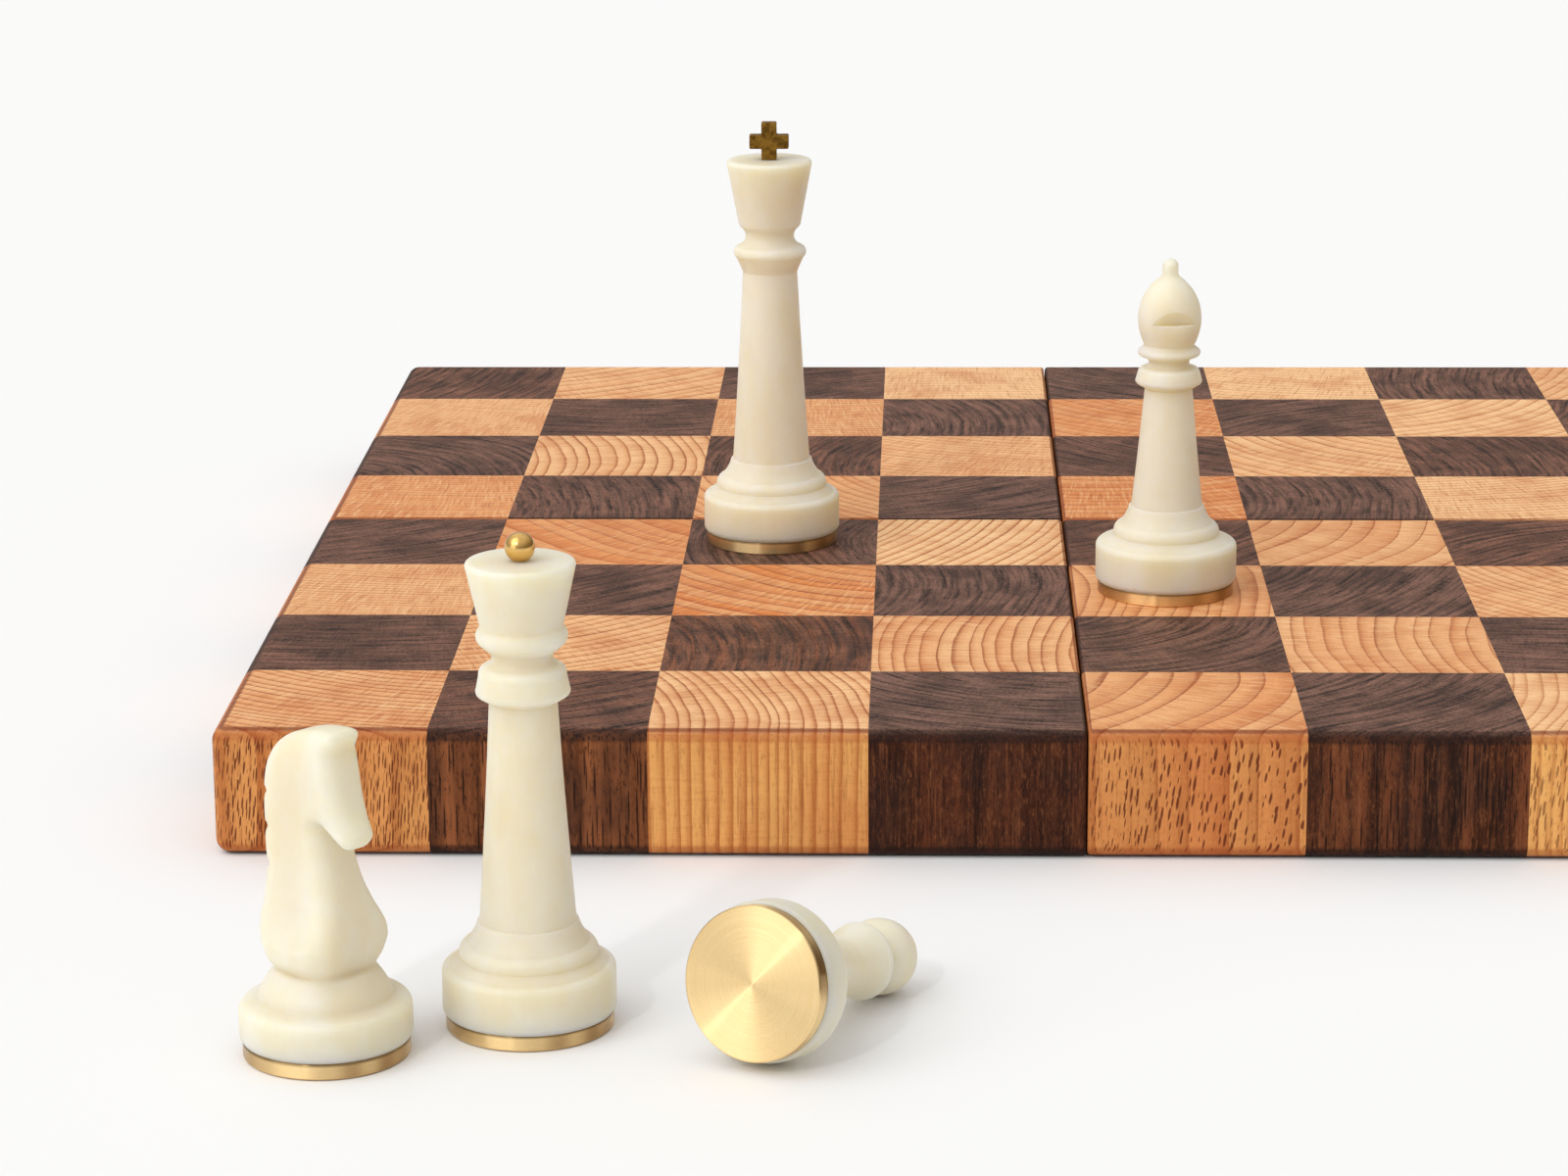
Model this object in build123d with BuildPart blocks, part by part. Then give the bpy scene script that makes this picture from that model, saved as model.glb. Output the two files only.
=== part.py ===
from build123d import *
import os
from itertools import pairwise, product
from math import asin, atan2, cos, hypot, radians, sin, sqrt

# Chess set: an end-grain board of four quarter panels with five chessmen, king and bishop on the board,
# queen, knight and a fallen pawn on the table in front of it. Millimetres, +Z up, +X to the right along
# the board's front edge, +Y away from the player. The table top is z = 0, and the origin is the centre
# of the set's footprint on it.

os.makedirs("parts", exist_ok=True)

# --- Board ----------------------------------------------------------------------------------------
block_pitch = 45.0  # spacing of the glue lines inside a quarter
blocks_per_side = 4  # blocks along one side of a quarter
edge_trim = 0.6  # planed off each side of a glued-up quarter
board_thickness = 27.0
panel_gap = 0.3  # daylight between two quarters
corner_round = 3.2  # upright corner at the outside of the board
outer_round = 3.0  # arrises round the outside of the board
seam_round = 0.9  # arrises along the edges where quarters meet

magnet_radius = 4.0
magnet_length = 3.0
pocket_clearance = 0.05  # round each magnet, for glue

# --- Chessmen -------------------------------------------------------------------------------------
disc_thickness = 2.9  # brass disc under every chessman
disc_edge = 0.25  # its broken edges
foot_radius = 16.0  # king, queen and bishop
knight_foot_radius = 15.7
pawn_foot_radius = 14.6
rim_round = 1.4  # upper arris of a foot
disc_setback = 0.55  # the disc is this much smaller in radius than the foot above it

king_crown_height = 91.2  # top of the king's resin body
king_height = 99.9  # top of the cross
queen_crown_height = 87.7
queen_ball_radius = 2.75
queen_ball_sink = 0.3  # depth of the ball's seat in the crown
bishop_height = 76.45
knob_radius = 1.8  # the knob on top of the bishop
knob_shoulder = 75.1  # height where its rounded end begins
mitre_radius = 7.1
mitre_cut_level = 62.3
mitre_cut_depth = 2.15
mitre_cut_rise = 9.0
mitre_cut_spread = 5.3  # outward slope of the cut's upper face over its rise
mitre_cut_turn = 81.0  # the cut faces the player, a little to the right
knight_height = 61.3
knight_turn = 42.0  # degrees that the knight's nose is turned towards the player
pawn_head_height = 46.0  # centre of the pawn's ball
pawn_head_radius = 7.2
pawn_turn = 29.3  # degrees from +Y towards +X in which the fallen pawn's head points

stud_radius = 2.0  # steel stud between disc and body
stud_depth_in_disc = 1.7
stud_depth_in_body = 8.0
pin_radius = 0.75  # steel pin under the queen's ball
pin_depth = 5.0
bore_clearance = 0.03
bore_end_clearance = 0.1

cross_width = 9.1
cross_post_width = 3.5
cross_arm_height = 3.2
cross_arm_level = 95.4  # middle of the arm
cross_thickness = 3.0
cross_edge = 0.2
tang_radius = 1.0
tang_depth = 5.0

# --- Where things stand, from the centre of the board ---------------------------------------------
king_spot = (-69.6, -20.2)
bishop_spot = (21.4, -66.7)
queen_spot = (-105.4, -275.0)
knight_spot = (-140.9, -290.0)
pawn_spot = (-63.6, -298.0)

panel_side = blocks_per_side * block_pitch - 2 * edge_trim
board_half = panel_side + panel_gap / 2
panel_centre = (panel_side + panel_gap) / 2
footprint_front = knight_foot_radius - knight_spot[1]  # reach of the set in front of the board's centre
board_centre_y = (footprint_front - board_half) / 2


def export(builder, name):
    """Label a finished piece and write it to its own file."""
    builder.part.label = name
    export_step(builder.part, f"parts/{name}.step")


# --- Quarter panels -------------------------------------------------------------------------------
def quarter_envelope(side_x, side_y):
    """Outside shape of one quarter; side_x and side_y are +1 or -1 and say which corner it is."""
    centre = (side_x * panel_centre, board_centre_y + side_y * panel_centre)
    outside_x = centre[0] + side_x * panel_side / 2
    outside_y = centre[1] + side_y * panel_side / 2
    inside_x = centre[0] - side_x * panel_side / 2
    inside_y = centre[1] - side_y * panel_side / 2
    touch = 0.01  # slack when picking edges by position

    def lies_at(edge, x=None, y=None):
        box = edge.bounding_box()
        at_x = x is None or max(abs(box.min.X - x), abs(box.max.X - x)) < touch
        at_y = y is None or max(abs(box.min.Y - y), abs(box.max.Y - y)) < touch
        return at_x and at_y

    with BuildPart() as panel:
        with BuildSketch(Plane.XY):
            with Locations(centre):
                Rectangle(panel_side, panel_side)
        extrude(amount=board_thickness)
        upright = panel.edges().filter_by(Axis.Z)
        fillet(upright.filter_by(lambda edge: lies_at(edge, outside_x, outside_y)), corner_round)
        level = panel.edges().filter_by(Axis.Z, reverse=True)
        rim = level.filter_by(lambda edge: lies_at(edge, x=outside_x) or lies_at(edge, y=outside_y))
        fillet(rim, outer_round)
        seam = panel.edges().filter_by(lambda edge: lies_at(edge, x=inside_x) or lies_at(edge, y=inside_y))
        fillet(seam, seam_round)
    return panel, centre


def magnet_planes(side_x, side_y, centre):
    """Planes on the two mating edges, one for each magnet, with z pointing out of the wood."""
    spread = 1.5 * block_pitch - edge_trim / 2  # middle of the first and the last block
    middle = board_thickness / 2
    planes = []
    for along in (-spread, spread):
        mating_x = centre[0] - side_x * panel_side / 2
        planes.append(Plane(origin=(mating_x, centre[1] + along, middle), z_dir=(-side_x, 0, 0)))
        mating_y = centre[1] - side_y * panel_side / 2
        planes.append(Plane(origin=(centre[0] + along, mating_y, middle), z_dir=(0, -side_y, 0)))
    return planes


def build_quarter(name, side_x, side_y):
    """One quarter: rows of beech and walnut blocks, and the magnets in its mating edges."""
    envelope, centre = quarter_envelope(side_x, side_y)
    pockets = magnet_planes(side_x, side_y, centre)
    for row in range(blocks_per_side):
        for wood, parity in (("beech", 0), ("walnut", 1)):
            # counted over the whole board, squares whose column and row add up to an even number are beech
            columns = [column for column in range(blocks_per_side) if (column + row) % 2 == parity]
            with BuildPart() as blocks:
                with BuildSketch(Plane.XY):
                    for column in columns:
                        x = centre[0] + (column - 1.5) * block_pitch
                        y = centre[1] + (row - 1.5) * block_pitch
                        with Locations((x, y)):
                            Rectangle(block_pitch, block_pitch)
                extrude(amount=board_thickness)
                add(envelope.part, mode=Mode.INTERSECT)
                for pocket in pockets:
                    with BuildSketch(pocket):
                        Circle(magnet_radius + pocket_clearance)
                    extrude(amount=-magnet_length - pocket_clearance, mode=Mode.SUBTRACT)
            export(blocks, f"{name}_row_{row + 1}_{wood}")
    with BuildPart() as magnets:
        for pocket in pockets:
            with BuildSketch(pocket):
                Circle(magnet_radius)
            extrude(amount=-magnet_length)
    export(magnets, f"{name}_magnets")


for (front_or_back, side_y), (left_or_right, side_x) in product(
    (("front", -1), ("back", 1)), (("left", -1), ("right", 1))
):
    build_quarter(f"{front_or_back}_{left_or_right}", side_x, side_y)


# --- Turned pieces --------------------------------------------------------------------------------
# A turned outline is a list of (radius, height, bow): each stretch runs from the point before it to this
# one, and bows outwards by that much in its middle, or inwards where it is negative.
def draw_outline(points):
    """Draw a closed outline, from the first point on the axis to the last and back down the axis."""
    for (radius, height, _), (next_radius, next_height, bow) in pairwise(points):
        if bow:
            SagittaArc((radius, height), (next_radius, next_height), -bow)
        else:
            Line((radius, height), (next_radius, next_height))
    Line(points[-1][:2], points[0][:2])


def upright_stand(spot, level, turn=0.0):
    """Frame of a standing chessman: origin under its foot, z up, x turned clockwise by turn degrees."""
    heading = (cos(radians(turn)), -sin(radians(turn)), 0)
    return Plane(origin=(spot[0], spot[1] + board_centre_y, level), x_dir=heading, z_dir=(0, 0, 1))


def side_plane(stand):
    """Plane through the stand's axis: its x is the stand's x, its y is the stand's z."""
    return Plane(origin=stand.origin, x_dir=stand.x_dir, z_dir=-stand.y_dir)


def front_plane(stand):
    """Plane through the stand's axis: its x is the stand's y, its y is the stand's z."""
    return Plane(origin=stand.origin, x_dir=stand.y_dir, z_dir=stand.x_dir)


def lifted(stand, height):
    """The stand's frame, moved up its own axis."""
    return stand.offset(height)


def cap_bow(radius, rise):
    """Bow of a rounded end that closes on the axis, with the arc's centre on the axis."""
    ball = (radius**2 + rise**2) / (2 * rise)
    half_chord_squared = (radius**2 + rise**2) / 4
    return ball - sqrt(ball**2 - half_chord_squared)


def quarter_bow(radius):
    """Bow of a quarter circle."""
    return radius * (1 - cos(radians(45)))


def foot_outline(radius, rim_height, shoulder, bead):
    """Resin foot: underside, upright rim with rounded arrises, shoulder and the bead above it."""
    arris = 1.0
    return [
        (0, disc_thickness, 0),
        (radius - arris / 2, disc_thickness, 0),
        (radius, disc_thickness + arris, 0.12),
        (radius, rim_height, 0),
        (radius - rim_round, rim_height + rim_round, quarter_bow(rim_round)),
        (*shoulder, 0),
        bead,
    ]


def tall_foot_outline(radius, stem_radius):
    """Foot of the king, queen and bishop, with the flare that meets the stem at a crisp step."""
    return foot_outline(radius, 10.6, (stem_radius + 3.85, 13.5), (stem_radius + 2.4, 16.2, 0.6)) + [
        (stem_radius + 0.45, 19.9, -0.25),
        (stem_radius, 20.2, 0),
    ]


def build_base(name, stand, radius):
    """Brass disc under a chessman, and the stud that holds it to the body."""
    with BuildPart() as disc:
        with BuildSketch(stand):
            Circle(radius - disc_setback)
        extrude(amount=disc_thickness)
        chamfer(disc.edges(), disc_edge)
        with Locations(lifted(stand, disc_thickness)):
            Hole(stud_radius + bore_clearance, depth=stud_depth_in_disc + bore_end_clearance)
    export(disc, f"{name}_brass_base")
    with BuildPart() as stud:
        with BuildSketch(lifted(stand, disc_thickness - stud_depth_in_disc)):
            Circle(stud_radius)
        extrude(amount=stud_depth_in_disc + stud_depth_in_body)
        chamfer(stud.edges(), disc_edge)
    export(stud, f"{name}_stud")


def turn_body(stand, points):
    """Resin body turned from an outline, with the hole for its stud."""
    with BuildPart() as body:
        with BuildSketch(side_plane(stand)):
            with BuildLine():
                draw_outline(points)
            make_face()
        revolve(axis=Axis(stand.origin, stand.z_dir))
        with BuildSketch(lifted(stand, disc_thickness)):
            Circle(stud_radius + bore_clearance)
        extrude(amount=stud_depth_in_body + bore_end_clearance, mode=Mode.SUBTRACT)
    return body


# --- King -----------------------------------------------------------------------------------------
king_stand = upright_stand(king_spot, board_thickness)
king_outline = tall_foot_outline(foot_radius, 9.05) + [
    (6.4, 64.9, -0.15),  # stem
    (7.9, 68.3, 0),  # underside of the collar
    (7.6, 70.9, 0.75),
    (6.8, 75.4, -1.5),  # neck
    (7.2, 75.9, 0),
    (9.95, king_crown_height - 0.9, 0),  # crown
    (9.15, king_crown_height, 0.25),
    (0, king_crown_height, 0),
]
turned_king = turn_body(king_stand, king_outline)
with BuildPart() as king_body:
    add(turned_king.part)
    with Locations(lifted(king_stand, king_crown_height)):
        Hole(tang_radius + bore_clearance, depth=tang_depth + bore_end_clearance)
export(king_body, "king_body")
build_base("king", king_stand, foot_radius)

with BuildPart() as king_cross:
    with BuildSketch(side_plane(king_stand)):
        with Locations((0, (king_crown_height + king_height) / 2)):
            Rectangle(cross_post_width, king_height - king_crown_height)
        with Locations((0, cross_arm_level)):
            Rectangle(cross_width, cross_arm_height)
    extrude(amount=cross_thickness / 2, both=True)
    chamfer(king_cross.edges(), cross_edge)
    with BuildSketch(lifted(king_stand, king_crown_height + cross_edge)):
        Circle(tang_radius)
    extrude(amount=-tang_depth - cross_edge)
export(king_cross, "king_cross")

# --- Queen ----------------------------------------------------------------------------------------
queen_stand = upright_stand(queen_spot, 0)
queen_outline = tall_foot_outline(foot_radius, 8.9) + [
    (6.2, 61.6, -0.15),  # stem
    (8.3, 62.9, 0),  # underside of the collar
    (8.5, 64.0, 0.2),
    (8.0, 66.6, 0),
    (6.5, 68.4, 0.5),
    (6.6, 71.4, -1.0),  # neck
    (7.9, 72.6, 0),
    (7.8, 75.2, 0.5),  # ring under the crown
    (7.6, 76.0, -0.1),
    (10.0, queen_crown_height - 0.8, 0),  # crown
    (9.3, queen_crown_height, 0.2),
    (0, queen_crown_height, 0),
]
ball_centre_height = queen_crown_height - queen_ball_sink + queen_ball_radius
pin_foot_height = queen_crown_height - pin_depth
turned_queen = turn_body(queen_stand, queen_outline)
with BuildPart() as queen_body:
    add(turned_queen.part)
    with Locations(lifted(queen_stand, ball_centre_height)):
        Sphere(queen_ball_radius, mode=Mode.SUBTRACT)
    with Locations(lifted(queen_stand, queen_crown_height)):
        Hole(pin_radius + bore_clearance, depth=pin_depth + bore_end_clearance)
with BuildPart() as queen_ball:
    with Locations(lifted(queen_stand, ball_centre_height)):
        Sphere(queen_ball_radius)
    with BuildSketch(lifted(queen_stand, ball_centre_height - queen_ball_radius)):
        Circle(pin_radius + bore_clearance)
    extrude(amount=queen_ball_radius + bore_end_clearance, mode=Mode.SUBTRACT)
with BuildPart() as queen_ball_pin:
    with BuildSketch(lifted(queen_stand, pin_foot_height)):
        Circle(pin_radius)
    extrude(amount=ball_centre_height - pin_foot_height)
export(queen_body, "queen_body")
export(queen_ball, "queen_ball")
export(queen_ball_pin, "queen_ball_pin")
build_base("queen", queen_stand, foot_radius)

# --- Bishop ---------------------------------------------------------------------------------------
bishop_stand = upright_stand(bishop_spot, board_thickness)
bishop_outline = tall_foot_outline(foot_radius - 0.1, 8.0) + [
    (5.35, 47.0, -0.1),  # stem
    (7.2, 48.2, 0),  # underside of the collar
    (7.35, 49.2, 0.2),
    (6.9, 50.9, 0),
    (5.6, 51.8, 0.3),
    (5.1, 53.9, -0.8),  # neck
    (6.5, 54.5, 0),
    (6.5, 56.1, 0.5),  # ring under the mitre
    (5.6, 57.0, -0.1),
    (mitre_radius, 62.9, 0.35),  # mitre
    (2.3, 72.2, 1.3),
    (knob_radius, 73.4, -0.15),  # knob
    (knob_radius, knob_shoulder, 0),
    (0, bishop_height, cap_bow(knob_radius, bishop_height - knob_shoulder)),
]
cut_stand = upright_stand(bishop_spot, board_thickness, mitre_cut_turn)
cut_root = mitre_radius - mitre_cut_depth
turned_bishop = turn_body(bishop_stand, bishop_outline)
with BuildPart() as bishop_body:
    add(turned_bishop.part)
    with BuildSketch(side_plane(cut_stand)):
        with BuildLine():
            Polyline(
                (cut_root, mitre_cut_level),
                (2 * mitre_radius, mitre_cut_level),
                (2 * mitre_radius, mitre_cut_level + mitre_cut_rise),
                (cut_root + mitre_cut_spread, mitre_cut_level + mitre_cut_rise),
                close=True,
            )
        make_face()
    extrude(amount=2 * mitre_radius, both=True, mode=Mode.SUBTRACT)
export(bishop_body, "bishop_body")
build_base("bishop", bishop_stand, foot_radius - 0.1)

# --- Knight ---------------------------------------------------------------------------------------
knight_stand = upright_stand(knight_spot, 0, knight_turn)
knight_waist_height = 16.4
knight_waist_radius = 9.2
knight_foot = foot_outline(
    knight_foot_radius, 8.6, (12.4, 11.3), (knight_waist_radius, knight_waist_height, 0.9)
) + [(0, knight_waist_height, 0)]
knight_reach = 14.0
turned_knight_foot = turn_body(knight_stand, knight_foot)
with BuildPart() as knight_body:
    # side view of the bust and head: back of the neck, poll, face, muzzle, jaw, chest
    with BuildSketch(side_plane(knight_stand)):
        with BuildLine():
            back = Spline(
                (-8.4, knight_waist_height), (-10.0, 23.0), (-10.2, 36.0), (-10.2, 48.0), (-6.4, 58.2)
            )
            poll = ThreePointArc(back @ 1, (-0.5, 60.9), (6.0, knight_height))
            ear = Polyline(poll @ 1, (7.6, 60.9), (7.0, 57.6))
            face = Line(ear @ 1, (11.1, 43.4))
            muzzle = ThreePointArc(face @ 1, (11.0, 40.9), (8.6, 39.2))
            lips = Line(muzzle @ 1, (4.6, 39.4))
            jaw = ThreePointArc(lips @ 1, (2.6, 41.6), (0.6, 41.4))
            throat = Line(jaw @ 1, (2.0, 37.5))
            chest = Spline(throat @ 1, (5.0, 30.5), (9.0, 22.5), (8.2, knight_waist_height))
            Line(chest @ 1, back @ 0)
        make_face()
    extrude(amount=knight_reach, both=True)
    # front view: wide chest, neck, cheeks and a narrow poll
    with BuildSketch(front_plane(knight_stand)):
        with BuildLine():
            cheek = Spline(
                (8.6, knight_waist_height), (9.4, 22.0), (7.2, 34.0), (5.6, 46.0), (4.8, 55.0), (2.4, 62.0)
            )
            Line(cheek @ 1, (0, 62.0))
            Line((0, 62.0), (0, knight_waist_height))
            Line((0, knight_waist_height), cheek @ 0)
        make_face()
        mirror(about=Plane.YZ)
    extrude(amount=knight_reach, both=True, mode=Mode.INTERSECT)
    # the corners of the bust follow a turned shape
    with BuildSketch(side_plane(knight_stand)):
        with BuildLine():
            draw_outline(
                [
                    (0, knight_waist_height, 0),
                    (knight_waist_radius, knight_waist_height, 0),
                    (11.6, 22.0, 0.6),
                    (11.0, 34.0, 0),
                    (12.0, 43.0, 0),
                    (10.0, 56.0, 0),
                    (7.8, 62.0, 0),
                    (0, 62.0, 0),
                ]
            )
        make_face()
    revolve(axis=Axis(knight_stand.origin, knight_stand.z_dir), mode=Mode.INTERSECT)
    add(turned_knight_foot.part)
export(knight_body, "knight_body")
build_base("knight", knight_stand, knight_foot_radius)

# --- Pawn, lying on its foot rim and its head -----------------------------------------------------
pawn_rim_height = 8.2
contact_span = pawn_head_height - pawn_rim_height
contact_offset = pawn_foot_radius - rim_round  # the rounded arris of the foot touches the table
pawn_lean = atan2(contact_offset, contact_span) - asin(
    (pawn_head_radius - rim_round) / hypot(contact_offset, contact_span)
)
pawn_axis = (
    sin(radians(pawn_turn)) * cos(pawn_lean),
    cos(radians(pawn_turn)) * cos(pawn_lean),
    -sin(pawn_lean),
)
pawn_level = contact_offset * cos(pawn_lean) + rim_round + pawn_rim_height * sin(pawn_lean)
pawn_stand = Plane(
    origin=(pawn_spot[0], pawn_spot[1] + board_centre_y, pawn_level),
    x_dir=(cos(radians(pawn_turn)), -sin(radians(pawn_turn)), 0),
    z_dir=pawn_axis,
)
neck_height = 40.1
neck_radius = sqrt(pawn_head_radius**2 - (pawn_head_height - neck_height) ** 2)
ball_half_turn = (radians(90) + atan2(pawn_head_height - neck_height, neck_radius)) / 2
pawn_outline = foot_outline(pawn_foot_radius, pawn_rim_height, (10.6, 11.0), (8.8, 13.2, 0.5)) + [
    (6.3, 16.8, -0.3),
    (5.9, 17.1, 0),
    (5.1, 29.7, -0.15),  # stem
    (6.9, 37.5, -0.4),  # collar
    (6.9, 39.1, 0.35),
    (neck_radius, neck_height, 0),
    (0, pawn_head_height + pawn_head_radius, pawn_head_radius * (1 - cos(ball_half_turn))),
]
pawn_body = turn_body(pawn_stand, pawn_outline)
export(pawn_body, "pawn_body")
build_base("pawn", pawn_stand, pawn_foot_radius)
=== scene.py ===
import random
from math import cos, radians, sin

import bpy
import numpy as np
from mathutils import Matrix, Vector


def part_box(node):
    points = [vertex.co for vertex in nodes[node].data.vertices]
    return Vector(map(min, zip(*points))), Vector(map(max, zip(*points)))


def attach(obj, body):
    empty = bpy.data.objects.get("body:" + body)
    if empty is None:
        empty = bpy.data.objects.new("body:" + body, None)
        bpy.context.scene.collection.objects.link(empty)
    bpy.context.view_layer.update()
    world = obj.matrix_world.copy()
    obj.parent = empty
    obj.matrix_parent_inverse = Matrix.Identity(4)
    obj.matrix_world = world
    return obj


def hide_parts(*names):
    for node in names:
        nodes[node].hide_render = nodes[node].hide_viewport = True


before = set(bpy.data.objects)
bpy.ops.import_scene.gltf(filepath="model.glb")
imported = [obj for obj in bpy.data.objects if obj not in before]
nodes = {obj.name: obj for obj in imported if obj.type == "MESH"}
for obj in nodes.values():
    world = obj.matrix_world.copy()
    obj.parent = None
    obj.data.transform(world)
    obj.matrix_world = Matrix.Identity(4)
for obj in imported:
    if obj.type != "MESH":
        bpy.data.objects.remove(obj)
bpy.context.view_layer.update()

# Looks of the chess set. The frame is in metres: +X right along the board's front edge, +Y away from the
# player, +Z up from the table. Wood and knight are worked out in millimetres.
MM = 0.001
BLOCK = 45.0  # side of one square
TRIM = 0.6  # planed off each side of a quarter
SEAM = 0.3  # gap between two quarters
BOARD_BLOCKS = 8  # blocks along one side of the board
QUARTER_BLOCKS = BOARD_BLOCKS // 2
DICE_SEED = 7

board_nodes = [name for name in nodes if "_row_" in name]


# --- Node graphs ----------------------------------------------------------------------------------
class Graph:
    """A node tree written as expressions: most methods add nodes and return an output socket."""

    def __init__(self, tree):
        self.tree = tree

    def plug(self, socket, value):
        if isinstance(value, bpy.types.NodeSocket):
            self.tree.links.new(value, socket)
        else:
            socket.default_value = value

    def add(self, kind, inputs=None, output=0, **settings):
        node = self.tree.nodes.new(kind)
        for name, value in settings.items():
            setattr(node, name, value)
        for key, value in (inputs or {}).items():
            self.plug(node.inputs[key], value)
        return node.outputs[output]

    def math(self, operation, *values):
        return self.add("ShaderNodeMath", dict(enumerate(values)), operation=operation)

    def product(self, *values):
        """Product of two or more numbers."""
        total = values[0]
        for value in values[1:]:
            total = self.math("MULTIPLY", total, value)
        return total

    def vector_math(self, operation, *values, output=0):
        return self.add("ShaderNodeVectorMath", dict(enumerate(values)), output, operation=operation)

    def length(self, vector):
        return self.vector_math("LENGTH", vector, output="Value")

    def dot(self, first, second):
        return self.vector_math("DOT_PRODUCT", first, second, output="Value")

    def stretch(self, vector, x, y, z):
        return self.vector_math("MULTIPLY", vector, Vector((x, y, z)))

    def object_point(self, scale=1.0):
        """Place on the object, in metres times scale."""
        return self.stretch(self.add("ShaderNodeTexCoord", output="Object"), scale, scale, scale)

    def xyz(self, vector):
        node = self.tree.nodes.new("ShaderNodeSeparateXYZ")
        self.tree.links.new(vector, node.inputs[0])
        return node.outputs[0], node.outputs[1], node.outputs[2]

    def combine(self, x, y, z=0.0):
        return self.add("ShaderNodeCombineXYZ", {0: x, 1: y, 2: z})

    def ramp(self, value, low, high, to_low=0.0, to_high=1.0):
        """Smooth step from to_low at low to to_high at high."""
        inputs = {"Value": value, "From Min": low, "From Max": high, "To Min": to_low, "To Max": to_high}
        return self.add("ShaderNodeMapRange", inputs, interpolation_type="SMOOTHSTEP")

    def noise(self, vector, detail, roughness=0.5, output=0):
        inputs = {"Vector": vector, "Scale": 1.0, "Detail": detail, "Roughness": roughness}
        return self.add("ShaderNodeTexNoise", inputs, output)

    def cells(self, vector, dimensions):
        """Way to each point from the nearest of many scattered ones, and that one's random colour."""
        node = self.tree.nodes.new("ShaderNodeTexVoronoi")
        node.voronoi_dimensions = dimensions
        node.inputs["Scale"].default_value = 1.0
        self.plug(node.inputs["Vector"], vector)
        return self.vector_math("SUBTRACT", vector, node.outputs["Position"]), node.outputs["Color"]

    def mix(self, factor, first, second):
        """Blend of two colours. The node's sockets share their names, so they are picked by number."""
        node = self.tree.nodes.new("ShaderNodeMix")
        node.data_type = "RGBA"
        for number, value in ((0, factor), (6, first), (7, second)):
            self.plug(node.inputs[number], value)
        return node.outputs[2]

    def paint(self, body, *coats):
        """Lay coats over a colour in turn, each given by its strength and its own colour."""
        for strength, tint in coats:
            body = self.mix(strength, body, tint)
        return body

    def bump(self, height, strength, distance):
        return self.add("ShaderNodeBump", {"Height": height, "Strength": strength, "Distance": distance})


def colour(red, green, blue):
    """Linear colour from the 0 to 255 values that a screen shows."""
    channels = [value / 255 for value in (red, green, blue)]
    return tuple(c / 12.92 if c <= 0.04045 else ((c + 0.055) / 1.055) ** 2.4 for c in channels) + (1.0,)


def new_material(name):
    """Empty material, its graph and its shader."""
    material = bpy.data.materials.new(name)
    material.use_nodes = True
    tree = material.node_tree
    tree.nodes.clear()
    shader = tree.nodes.new("ShaderNodeBsdfPrincipled")
    output = tree.nodes.new("ShaderNodeOutputMaterial")
    tree.links.new(shader.outputs[0], output.inputs["Surface"])
    return material, Graph(tree), shader


def dress(node_name, material):
    """Give a CAD node its material."""
    mesh = nodes[node_name].data
    mesh.materials.clear()
    mesh.materials.append(material)


# --- Wood -----------------------------------------------------------------------------------------
# A block is a piece of a trunk whose pith stands beside it: rings are circles round the pith, rays run
# out from it, and fibres and pores run up it. So the end grain on top and the long grain down the sides
# agree, as they do in real wood.

WANDER = 6.0  # span of the rings' wandering, in millimetres
COMMON_RING = 3.0  # rings up to this width have flecks of the common size
WIDEST_FLECK = 1.35  # flecks grow with the ring, up to this much


class Block:
    """Where a block was cut from its trunk, how warm its colour is and how strongly its rings show."""

    def __init__(self, centre_x, centre_y, towards, distance, ring, warmth, contrast):
        self.to_pith_x = cos(radians(towards))
        self.to_pith_y = sin(radians(towards))
        self.pith_x = centre_x + distance * self.to_pith_x
        self.pith_y = centre_y + distance * self.to_pith_y
        self.distance = distance
        self.ring = ring
        self.warmth = warmth
        self.contrast = contrast
        self.fleck = min(max(ring / COMMON_RING, 1.0), WIDEST_FLECK)


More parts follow.
